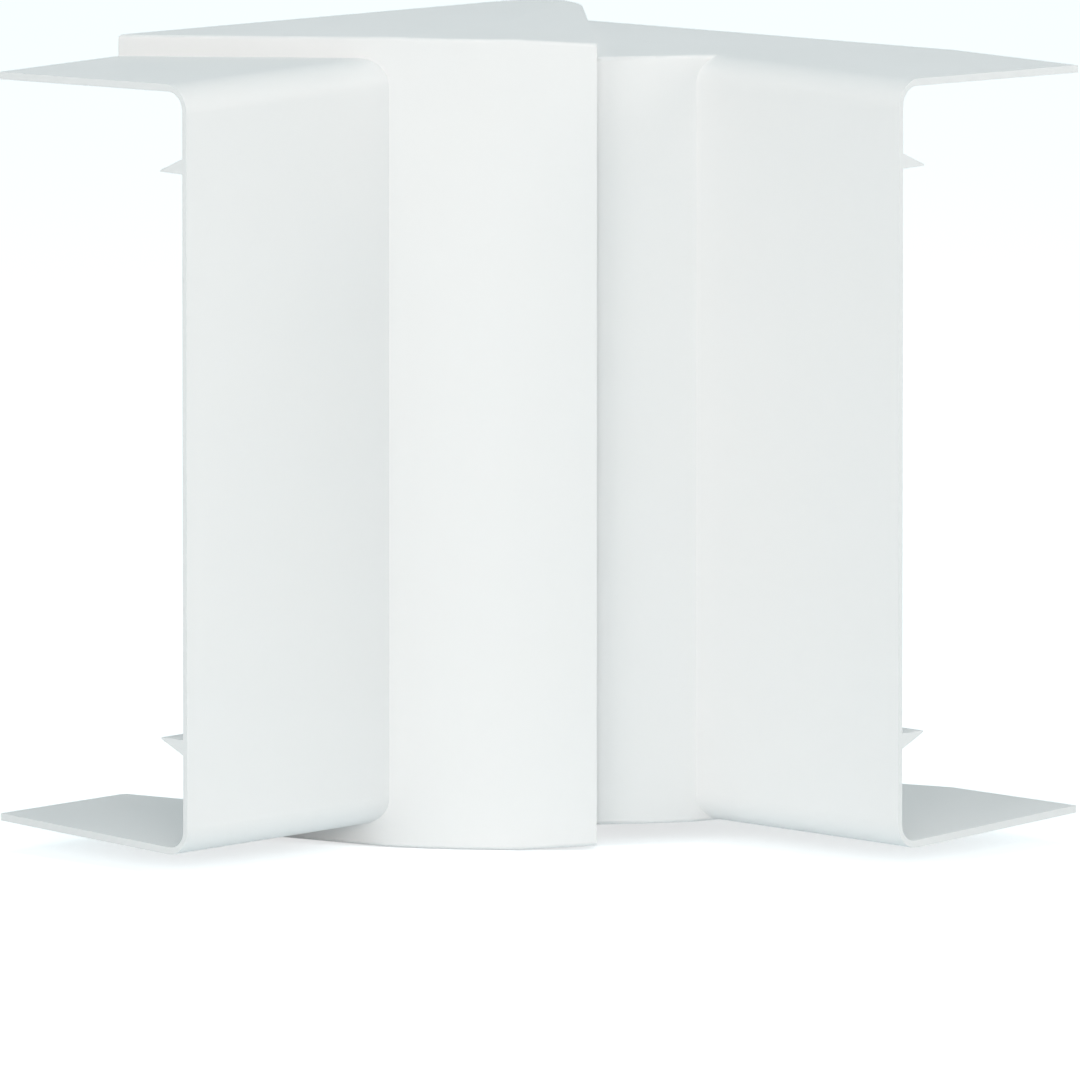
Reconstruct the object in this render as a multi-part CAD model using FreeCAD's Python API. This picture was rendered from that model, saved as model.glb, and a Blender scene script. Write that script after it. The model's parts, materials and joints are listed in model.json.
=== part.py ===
import FreeCAD, Part
import os
from math import acos, cos, degrees, radians, sin, tan

# Internal corner hood for wide wall trunking, two mouldings that swivel on each other.
# The upright line where the two walls meet is the swivel axis. The room is toward -Y.
# Each half is drawn flat in its own wall frame: X runs along the wall away from the corner,
# Y stands off the wall into the room, Z is up from mid height.

os.makedirs("parts", exist_ok=True)

# Trunking the hood fits over, in mm
trunking_height = 195.0
trunking_depth = 65.0
front_clearance = 0.5       # between the trunking's lid and the front wall

# Walls of the mouldings
leg_wall = 2.0
front_wall = 1.5
leg_lean = 2.2              # degrees, the legs close in toward the wall

# Arms
arm_run = 43.5              # straight from where the round sector begins to the open end
arm_corner_radius = 7.0
arm_inner_radius = 4.7      # inside of the same corner

# Round sectors
outer_radius = 143.0
sector_gap = 4.7            # between the two curved walls
sector_raise = 5.5          # outer sector above the arm, top and bottom
outer_overrun = 14.0        # each sector begins this much further along the wall than its radius
inner_overrun = 10.2
back_angle = 15.5           # degrees, the back edge leaves the wall by this much
rear_corner_radius = 15.0
sector_edge_radius = 1.0
room_angle = 90.0
free_edge_angle = 49.5      # degrees from the outer half's own wall, at the front
hidden_edge_angle = 51.5    # degrees from the inner half's own wall, at the front
edge_skew = 3.0             # degrees, both edges run this much nearer the wall than a radial line

# The outer sector pinches in a little along its free edge
pinch = 1.1
pinch_length = 20.0

# Lips that close the gap between the sectors
lip_wall = 1.4
running_gap = 0.3

# Snap hooks behind the front wall, at the open ends
upper_hook_height = 76.5    # flat face above mid height
lower_hook_height = 69.1    # flat face below mid height
hook_reach = 7.8
hook_root = 4.0
hook_tip = 0.5
hook_length = 18.0
hook_bite = 0.5             # how far the root runs into the front wall

# Sizes that follow from these
arm_height = trunking_height + 2 * leg_wall
inner_depth = trunking_depth + front_clearance
arm_depth = inner_depth + front_wall
outer_height = arm_height + 2 * sector_raise
inner_radius = outer_radius - front_wall - sector_gap
outer_start = outer_radius + outer_overrun          # corner line to where the sector begins
inner_start = inner_radius + inner_overrun
lean_slope = tan(radians(leg_lean))
inboard_share = 0.6         # arms are drawn from this share of their sector's start
beyond = 10.0               # how far a cutting shape runs past what it cuts
far = 2 * outer_start       # past everything
close = 0.1                 # when an edge counts as the one looked for


def point(x, y, z=0.0):
    return FreeCAD.Vector(x, y, z)


def polar(radius, angle):
    return point(radius * cos(radians(angle)), radius * sin(radians(angle)))


def along_wall(profile, start, end):
    """A (depth, height) outline swept along the wall."""
    corners = [point(start, depth, height) for depth, height in profile]
    face = Part.Face(Part.makePolygon(corners + corners[:1]))
    return face.extrude(point(end - start, 0))


def hood_profile(height, depth, back):
    """Straight front, legs that close in toward the wall."""
    half = height / 2
    at_back = half - lean_slope * (depth - back)
    return [(back, at_back), (depth, half), (depth, -half), (back, -at_back)]


def slab(height, depth):
    """Space between the sector plates: level in front, leaning in behind the arm's front."""
    half = height / 2
    at_back = half - lean_slope * (depth + beyond)
    profile = [(-beyond, at_back), (depth, half), (far, half),
               (far, -half), (depth, -half), (-beyond, -at_back)]
    return along_wall(profile, -far, far)


def set_on_edge(body, radius, edge_angle):
    """Turns and moves a body so that its Y axis lies on a sector's upright edge plane."""
    body.rotate(point(0, 0), point(0, 0, 1), edge_angle - edge_skew - 90)
    body.translate(polar(radius, edge_angle))
    return body


def pinched(height, radius, edge_angle):
    """Space that narrows toward the free edge over the last stretch."""
    half = height / 2
    slope = pinch / pinch_length
    outline = [(-beyond, half - pinch - slope * beyond), (pinch_length, half), (far, half),
               (far, -half), (pinch_length, -half), (-beyond, -(half - pinch - slope * beyond))]
    corners = [point(distance, -far, level) for distance, level in outline]
    body = Part.Face(Part.makePolygon(corners + corners[:1])).extrude(point(0, 2 * far))
    return set_on_edge(body, radius, edge_angle)


def back_direction():
    """Along the straight back edge, from the wall toward the corner."""
    return point(-cos(radians(back_angle)), sin(radians(back_angle)))


def rear_corner(radius, start, edge_angle):
    """Where the straight back edge meets the edge plane."""
    front = polar(radius, edge_angle) - point(start, 0)
    inward = polar(1.0, edge_angle - edge_skew)
    back = back_direction()
    run = (front.x * inward.y - front.y * inward.x) / (back.x * inward.y - back.y * inward.x)
    return point(start, 0) + back * run


def tall(face):
    face.translate(point(0, 0, -outer_height))
    return face.extrude(point(0, 0, 2 * outer_height))


def sector_plan(radius, start, edge_angle):
    """Tangent side, round front, free edge and straight back edge, seen from above."""
    tangent = degrees(acos(radius / start))
    middle = polar(radius, (tangent + edge_angle) / 2)
    rear = rear_corner(radius, start, edge_angle)
    front = Part.Arc(polar(radius, tangent), middle, polar(radius, edge_angle)).toShape()
    sides = [Part.makeLine(point(start, 0), polar(radius, tangent)), front,
             Part.makeLine(polar(radius, edge_angle), rear), Part.makeLine(rear, point(start, 0))]
    body = tall(Part.Face(Part.Wire(sides)))
    rear_edges = [edge for edge in body.Edges
                  if (edge.valueAt(edge.FirstParameter) - edge.valueAt(edge.LastParameter)).Length
                  > outer_height and edge.CenterOfMass.distanceToPoint(rear) < close]
    return body.makeFillet(rear_corner_radius, rear_edges)


def sector_hollow(radius, start, edge_angle):
    """Space inside the curved wall, open at the free edge and toward the wall."""
    tangent = degrees(acos(radius / start))
    inside = radius - front_wall
    past_edge = edge_angle + degrees(beyond / inside)
    drop = (inside * sin(radians(tangent)) + beyond) / cos(radians(tangent))
    side = polar(inside, tangent) + point(drop * sin(radians(tangent)),
                                          -drop * cos(radians(tangent)))
    middle = polar(inside, (tangent + past_edge) / 2)
    past = polar(inside, past_edge)
    front = Part.Arc(polar(inside, tangent), middle, past).toShape()
    corners = [past, point(-far, past.y), point(-far, side.y), side, polar(inside, tangent)]
    lines = [Part.makeLine(one, other) for one, other in zip(corners, corners[1:])]
    return tall(Part.Face(Part.Wire([front] + lines)))


def long_edges(body, level, depth):
    """The two front corner edges of an arm."""
    return [edge for edge in body.Edges
            if abs(abs(edge.CenterOfMass.z) - level) < close
            and abs(edge.CenterOfMass.y - depth) < close]


def arm(start):
    """Solid and hollow of a straight arm, begun inside its sector."""
    inboard, length = inboard_share * start, start + arm_run
    height, depth = arm_height, arm_depth
    solid = along_wall(hood_profile(height, depth, 0.0), inboard, length)
    solid = solid.makeFillet(arm_corner_radius, long_edges(solid, height / 2, depth))
    inner_height = height - 2 * leg_wall
    hollow = along_wall(hood_profile(inner_height, inner_depth, -beyond), inboard,
                        length + beyond)
    hollow = hollow.makeFillet(arm_inner_radius,
                               long_edges(hollow, inner_height / 2, inner_depth))
    return solid, hollow


def hooks(start):
    """Two barbs: flat faces toward mid height, sloped faces outward."""
    root, length = inner_depth, start + arm_run
    barbs = []
    for height, side in ((upper_hook_height, 1), (lower_hook_height, -1)):
        outline = [(root + hook_bite, height), (root - hook_reach, height),
                   (root - hook_reach, height + hook_tip), (root, height + hook_root),
                   (root + hook_bite, height + hook_root)]
        profile = [(depth, side * level) for depth, level in outline]
        barbs.append(along_wall(profile, length - hook_length, length))
    return barbs


def edge_strip(radius, edge_angle):
    """Thin upright space just inside a sector's upright edge plane."""
    strip = Part.makeBox(lip_wall, radius + far, 2 * outer_height,
                         point(0, -radius, -outer_height))
    return set_on_edge(strip, radius, edge_angle)


def behind_back_edge(start):
    """Everything between the wall and the straight back edge, cut away for clearance."""
    rear = point(start, 0) + back_direction() * far
    outline = [point(start, 0), rear, point(rear.x, -beyond), point(start, -beyond)]
    return tall(Part.Face(Part.makePolygon(outline + outline[:1])))


def top_edges(body, radius, tangent):
    """Upper and lower edges along the round front and the tangent side."""
    picked = []
    for edge in body.Edges:
        middle = edge.valueAt((edge.FirstParameter + edge.LastParameter) / 2)
        ends = [edge.valueAt(edge.FirstParameter), edge.valueAt(edge.LastParameter)]
        level = abs(ends[0].z - ends[1].z) < arm_height / 2
        flat = point(middle.x, middle.y)
        on_round = abs(flat.Length - radius) < close
        normal = polar(1.0, tangent)
        on_side = abs(flat.dot(normal) - radius) < close and flat.Length > radius
        if level and (on_round or on_side):
            picked.append(edge)
    return picked


def outer_local():
    tangent = degrees(acos(outer_radius / outer_start))
    body, arm_hollow = arm(outer_start)
    sector = sector_plan(outer_radius, outer_start, free_edge_angle)
    sector = sector.common(slab(outer_height, arm_depth))
    sector = sector.common(pinched(outer_height, outer_radius, free_edge_angle))
    sector = sector.makeFillet(sector_edge_radius, top_edges(sector, outer_radius, tangent))
    hollow_height = outer_height - 2 * leg_wall
    hollow = sector_hollow(outer_radius, outer_start, free_edge_angle)
    hollow = hollow.common(slab(hollow_height, arm_depth))
    hollow = hollow.common(pinched(hollow_height, outer_radius, free_edge_angle))
    # Lip along the free edge, down to a running gap from the inner half
    strip = edge_strip(outer_radius, free_edge_angle)
    inner_space = Part.makeCylinder(inner_radius + running_gap, arm_height + 2 * running_gap,
                                    point(0, 0, -arm_height / 2 - running_gap))
    lip = sector.common(strip).cut(inner_space)
    clearance = behind_back_edge(outer_start)
    shell = body.fuse(sector).cut(arm_hollow.fuse(hollow)).cut(clearance)
    return shell.fuse([lip.cut(clearance)] + hooks(outer_start)).removeSplitter()


def inner_local():
    tangent = degrees(acos(inner_radius / inner_start))
    body, arm_hollow = arm(inner_start)
    sector = sector_plan(inner_radius, inner_start, hidden_edge_angle)
    sector = sector.common(slab(arm_height, arm_depth))
    sector = sector.makeFillet(sector_edge_radius, top_edges(sector, inner_radius, tangent))
    hollow = sector_hollow(inner_radius, inner_start, hidden_edge_angle)
    hollow = hollow.common(slab(arm_height - 2 * leg_wall, arm_depth))
    shell = body.fuse(sector).cut(arm_hollow.fuse(hollow)).cut(behind_back_edge(inner_start))
    # Lip along the hidden edge, out to a running gap from the outer half
    lip_height = arm_height - 2 * sector_edge_radius
    lip = Part.makeCylinder(outer_radius - front_wall - running_gap, lip_height,
                            point(0, 0, -lip_height / 2))
    bore = Part.makeCylinder(inner_radius - front_wall / 2, lip_height,
                             point(0, 0, -lip_height / 2))
    lip = lip.cut(bore).common(edge_strip(inner_radius, hidden_edge_angle))
    return shell.fuse([lip] + hooks(inner_start)).removeSplitter()


half_turn = room_angle / 2
outer = outer_local()
outer.rotate(point(0, 0), point(0, 0, 1), 270 - half_turn)
inner = inner_local().mirror(point(0, 0), point(0, 1))
inner.rotate(point(0, 0), point(0, 0, 1), half_turn - 90)

# Frame: middle of the bounding box at its bottom
box = outer.optimalBoundingBox(False, False)
box.add(inner.optimalBoundingBox(False, False))
shift = point(-box.Center.x, -box.Center.y, -box.ZMin)
for name, body in (("outer_half", outer), ("inner_half", inner)):
    body.translate(shift)
    body.exportStep("parts/%s.step" % name)
    print(name, body.isValid(), len(body.Solids), round(body.Volume), body.BoundBox)
print("swivel axis", shift)
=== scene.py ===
import json
from math import cos, pi, radians, sin

import bpy
from mathutils import Euler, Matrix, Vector

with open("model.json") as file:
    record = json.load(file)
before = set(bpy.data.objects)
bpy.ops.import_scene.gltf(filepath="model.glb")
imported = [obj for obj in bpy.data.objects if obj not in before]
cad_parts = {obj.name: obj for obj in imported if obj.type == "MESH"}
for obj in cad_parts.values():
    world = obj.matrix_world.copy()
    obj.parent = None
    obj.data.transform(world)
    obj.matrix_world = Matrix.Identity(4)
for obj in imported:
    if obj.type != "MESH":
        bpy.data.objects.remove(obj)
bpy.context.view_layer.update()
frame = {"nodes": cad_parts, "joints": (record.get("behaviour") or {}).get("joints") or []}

hood = {name: frame["nodes"][name] for name in ("outer_half", "inner_half")}
print("frame loaded:", ", ".join(hood))


class Wire:
    # a socket that understands + - and * so shader maths reads like maths
    def __init__(self, graph, socket):
        self.graph = graph
        self.socket = socket

    def maths(self, operation, first, second=None):
        values = {0: first} if second is None else {0: first, 1: second}
        return self.graph.node("ShaderNodeMath", {"operation": operation}, values)

    def __add__(self, other):
        return self.maths("ADD", self, other)

    def __radd__(self, other):
        return self.maths("ADD", other, self)

    def __sub__(self, other):
        return self.maths("SUBTRACT", self, other)

    def __rsub__(self, other):
        return self.maths("SUBTRACT", other, self)

    def __mul__(self, other):
        return self.maths("MULTIPLY", self, other)

    def __rmul__(self, other):
        return self.maths("MULTIPLY", other, self)


class Graph:
    # one material or world, and the single way to add a node to it
    def __init__(self, tree):
        self.tree = tree
        self.tree.nodes.clear()

    def node(self, kind, settings=None, values=None, output=0):
        made = self.tree.nodes.new(kind)
        for setting, value in (settings or {}).items():
            setattr(made, setting, value)
        for socket, value in (values or {}).items():
            if isinstance(value, Wire):
                self.tree.links.new(value.socket, made.inputs[socket])
            else:
                made.inputs[socket].default_value = value
        return Wire(self, made.outputs[output]) if made.outputs else made


def newMaterial(name):
    material = bpy.data.materials.new(name)
    material.use_nodes = True
    return material, Graph(material.node_tree)


# white moulding, with sizes and heights in metres
plastic = {
    "white": (0.86, 0.861, 0.864, 1),
    "warmPatch": (0.868, 0.862, 0.858, 1),
    "roughness": 0.44,
    "roughnessSwing": 0.09,
    "specularLevel": 0.42,
    "cloudSize": 0.045,        # slow change in tone and gloss
    "cloudDetail": 2,
    "flowSize": 0.012,         # faint flow streaks of the moulding
    "flowDetail": 3,
    "flowHeight": 0.00001,
    "flowStretch": (1, 1, 0.22),
    "grainSize": 0.0007,       # spark-eroded grain of the mould
    "grainDetail": 1,
    "grainHeight": 0.000012,
    "noiseRoughness": 0.5,
}

# round marks that the ejector pins leave on the hidden inner faces, in metres
ejector = {
    "radius": 0.004,
    "spacingAlong": 0.034,
    "spacingUp": 0.048,
    "depth": 0.00012,
    "soft": 0.0004,
    "reach": 0.086,            # no marks further than this above or below mid height
    "innerFace": 0.0655,       # how far off the wall the inner face stands
    "grip": 0.0004,            # how near the inner face a point has to be
    "polish": 0.08,            # how much less rough a mark is
}

# the two walls run from the room corner line, which is also the swivel
swivel = Vector(frame["joints"][0]["pos_m"])
slant = cos(radians(45))
walls = {
    "outer_half": {"along": (-slant, -slant, 0), "off": (slant, -slant, 0),
                   "seed": (0.31, 0.12, 0.07)},
    "inner_half": {"along": (slant, -slant, 0), "off": (-slant, -slant, 0),
                   "seed": (1.73, 0.44, 0.52)},
}


def wallPlace(graph, place, wall):
    # the point as distances from the room corner: along the wall, off it and up
    fromCorner = graph.node("ShaderNodeVectorMath", {"operation": "SUBTRACT"},
                            {0: place, 1: swivel})

    def distance(way):
        return graph.node("ShaderNodeVectorMath", {"operation": "DOT_PRODUCT"},
                          {0: fromCorner, 1: way}, output="Value")

    return {
        "along": distance(wall["along"]),
        "off": distance(wall["off"]),
        "up": graph.node("ShaderNodeSeparateXYZ", None, {0: fromCorner}, output="Z"),
    }


def ramp(graph, value, low, high):
    # rises smoothly from 0 at low to 1 at high
    return graph.node("ShaderNodeMapRange", {"interpolation_type": "SMOOTHSTEP"},
                      {0: value, 1: low, 2: high, 3: 0.0, 4: 1.0})


def within(graph, value, middle, reach):
    # 1 no further than reach from the middle, otherwise 0
    return graph.node("ShaderNodeMath", {"operation": "COMPARE"}, {0: value, 1: middle, 2: reach})


def ejectorMarks(graph, spot):
    def cell(distance, spacing):
        return graph.node("ShaderNodeMath", {"operation": "WRAP"},
                          {0: distance, 1: spacing / 2, 2: -spacing / 2})

    across = cell(spot["along"], ejector["spacingAlong"])
    tall = cell(spot["up"], ejector["spacingUp"])
    squared = across * across + tall * tall
    fromPin = squared.maths("SQRT", squared)
    disc = ramp(graph, fromPin, ejector["radius"], ejector["radius"] - ejector["soft"])
    return (disc * within(graph, spot["off"], ejector["innerFace"], ejector["grip"])
            * within(graph, spot["up"], 0.0, ejector["reach"]))


def whitePlastic(name, wall):
    material, graph = newMaterial(name)
    place = graph.node("ShaderNodeTexCoord", None, None, output="Object")
    moved = graph.node("ShaderNodeVectorMath", {"operation": "ADD"},
                       {0: place, 1: wall["seed"]})
    streaks = graph.node("ShaderNodeVectorMath", {"operation": "MULTIPLY"},
                         {0: moved, 1: plastic["flowStretch"]})

    def noise(kind, where):
        return graph.node("ShaderNodeTexNoise", None, {
            "Vector": where,
            "Scale": 1 / plastic[kind + "Size"],
            "Detail": plastic[kind + "Detail"],
            "Roughness": plastic["noiseRoughness"],
        })

    clouds = noise("cloud", moved)
    flow = noise("flow", streaks)
    grain = noise("grain", moved)

    tone = graph.node("ShaderNodeMix", {"data_type": "RGBA"},
                      {0: clouds, 6: plastic["white"], 7: plastic["warmPatch"]}, output=2)
    gloss = plastic["roughness"] + (clouds + flow - 1) * plastic["roughnessSwing"]
    marks = ejectorMarks(graph, wallPlace(graph, place, wall))
    height = (grain * plastic["grainHeight"] + flow * plastic["flowHeight"]
              - marks * ejector["depth"])
    bump = graph.node("ShaderNodeBump", None, {"Strength": 1.0, "Distance": 1.0, "Height": height})
    shader = graph.node("ShaderNodeBsdfPrincipled", None, {
        "Base Color": tone,
        "Roughness": gloss - marks * ejector["polish"],
        "Specular IOR Level": plastic["specularLevel"],
        "Normal": bump,
    })
    graph.node("ShaderNodeOutputMaterial", None, {"Surface": shader})
    return material


for name, piece in hood.items():
    for slot in piece.material_slots:
        slot.material = whitePlastic("white_plastic_" + name, walls[name])
print("plastic done")


# studio floor, which also looks white in mirrors
floorLook = {
    "size": 9.0,
    "height": -0.0002,
    "pale": (0.77, 0.85, 0.88, 1),
    "glow": 0.66,
    "glowColour": (1, 1, 1, 1),
}


def isSeenOrMirrored(graph):
    rays = "ShaderNodeLightPath"
    camera = graph.node(rays, None, None, output="Is Camera Ray")
    glossy = graph.node(rays, None, None, output="Is Glossy Ray")
    through = graph.node(rays, None, None, output="Is Transmission Ray")
    return camera.maths("MAXIMUM", camera.maths("MAXIMUM", camera, glossy), through)


def paleFloor():
    bpy.ops.mesh.primitive_plane_add(size=floorLook["size"], location=(0, 0, floorLook["height"]))
    floor = bpy.context.object
    floor.name = "floor"
    material, graph = newMaterial("pale_floor")
    matt = graph.node("ShaderNodeBsdfDiffuse", None, {"Color": floorLook["pale"]})
    glow = graph.node("ShaderNodeEmission", None, {
        "Color": floorLook["glowColour"],
        "Strength": isSeenOrMirrored(graph) * floorLook["glow"],
    })
    both = graph.node("ShaderNodeAddShader", None, {0: matt, 1: glow})
    graph.node("ShaderNodeOutputMaterial", None, {"Surface": both})
    floor.data.materials.append(material)


paleFloor()

# a little brighter behind the object than in front of it, where the lamps stand
sky = {
    "front": 0.25,
    "rear": 0.35,
    "tint": (0.74, 1.0, 1.05, 1),
    "backdrop": (1, 1, 1, 1),
}
world = bpy.data.worlds.new("studio")
world.use_nodes = True
bpy.context.scene.world = world
air = Graph(world.node_tree)
direction = air.node("ShaderNodeTexCoord", None, None, output="Generated")
depthwise = air.node("ShaderNodeSeparateXYZ", None, {0: direction}, output="Y")
level = air.node("ShaderNodeMapRange", None,
                 {0: depthwise, 1: -1.0, 2: 1.0, 3: sky["front"], 4: sky["rear"]})
ambient = air.node("ShaderNodeBackground", None, {"Color": sky["tint"], "Strength": level})
backdrop = air.node("ShaderNodeBackground", None, {"Color": sky["backdrop"], "Strength": 1.0})
shown = air.node("ShaderNodeMixShader", None, {0: isSeenOrMirrored(air), 1: ambient, 2: backdrop})
air.node("ShaderNodeOutputWorld", None, {"Surface": shown})

# square softboxes, all aimed at the middle of the part
softbox = {
    "distance": 2.2,
    "size": 1.3,
    "aim": (0, 0, 0.1),
    "warm": (1.0, 0.9, 0.85),
    "cool": (0.94, 1.0, 1.015),
}
softboxes = [
    # name, degrees round from the front, degrees up, watts, colour
    ("front", 0, 12, 15.5, "warm"),
    ("left", -42, 12, 13.3, "warm"),
    ("right", 73, 12, 15.7, "warm"),
    ("top", 0, 80, 14.0, "cool"),
]
for name, azimuth, elevation, power, colour in softboxes:
    lamp = bpy.data.lights.new(name, "AREA")
    lamp.shape = "SQUARE"
    lamp.size = softbox["size"]
    lamp.energy = power
    lamp.color = softbox[colour]
    box = bpy.data.objects.new(name, lamp)
    side, lift = radians(azimuth), radians(elevation)
    outward = Vector((sin(side) * cos(lift), -cos(side) * cos(lift), sin(lift)))
    box.location = Vector(softbox["aim"]) + outward * softbox["distance"]
    box.rotation_euler = outward.to_track_quat("Z", "Y").to_euler()
    bpy.context.collection.objects.link(box)
print("studio done")


# long lens, looking a little down and a little to the right
view = {
    "lens": 1020.0,
    "sensor": 36.0,
    "pixelsPerMetre": 3832.4,
    "imageSize": 1080,
    "pitch": 8.384,
    "turn": 1.26,
    "axisPixel": (540.84, 367.6),  # where the swivel's middle falls in the picture
    "farthest": 60,
}
camera = bpy.data.objects.new("camera", bpy.data.cameras.new("camera"))
camera.data.lens = view["lens"]
camera.data.sensor_width = view["sensor"]
camera.rotation_euler = Euler((pi / 2 - radians(view["pitch"]), 0, -radians(view["turn"])))
facing = camera.rotation_euler.to_matrix()
distance = view["lens"] / view["sensor"] * view["imageSize"] / view["pixelsPerMetre"]
rightward = (view["imageSize"] / 2 - view["axisPixel"][0]) / view["pixelsPerMetre"]
upward = (view["axisPixel"][1] - view["imageSize"] / 2) / view["pixelsPerMetre"]
camera.location = swivel + facing @ Vector((rightward, upward, distance))
camera.data.clip_end = view["farthest"]
bpy.context.collection.objects.link(camera)
bpy.context.scene.camera = camera
bpy.context.scene.view_settings.view_transform = "Standard"
print("camera at", camera.location)
